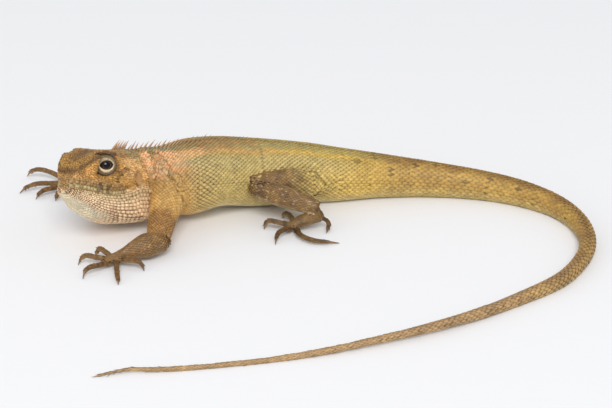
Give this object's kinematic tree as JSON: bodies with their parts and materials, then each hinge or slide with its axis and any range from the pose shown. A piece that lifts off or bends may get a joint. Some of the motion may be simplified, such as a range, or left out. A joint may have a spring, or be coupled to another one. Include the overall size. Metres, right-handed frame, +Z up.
{
  "type": "oriental garden lizard",
  "caption": "Life-size still model of an oriental garden lizard standing low with its head turned and its long tail swept round in front.",
  "frame": {"origin": "the point on the floor under the hips, in the middle of the belly's flat", "axes": "+X from the head towards the tail along the trunk, -Y the side that the animal's left faces, +Z up from the floor"},
  "size_m": [0.1949, 0.1651, 0.0321],
  "materials": {
    "head_skin": "dry scaly skin, satin",
    "throat_skin": "dry scaly skin, satin",
    "body_skin": "dry scaly skin, satin",
    "limb_skin": "dry scaly skin, satin",
    "tail_skin": "dry scaly skin, satin",
    "eye": "wet gloss",
    "eardrum": "thin dull membrane"
  },
  "bodies": {
    "root": {"head": "head_skin", "lower_jaw": "head_skin", "throat": "throat_skin", "neck": "body_skin", "torso": "body_skin", "tail_1": "tail_skin", "tail_2": "tail_skin", "tail_3": "tail_skin", "tail_4": "tail_skin", "tail_5": "tail_skin", "tail_6": "tail_skin", "tail_7": "tail_skin", "eye_left": "eye", "eye_right": "eye", "ear_left": "eardrum", "ear_right": "eardrum", "upper_arm_left": "limb_skin", "upper_arm_right": "limb_skin", "forearm_left": "limb_skin", "forearm_right": "limb_skin", "hand_left": "limb_skin", "hand_right": "limb_skin", "thigh_left": "limb_skin", "thigh_right": "limb_skin", "shin_left": "limb_skin", "shin_right": "limb_skin", "foot_left": "limb_skin", "foot_right": "limb_skin"}
  },
  "joints": []
}
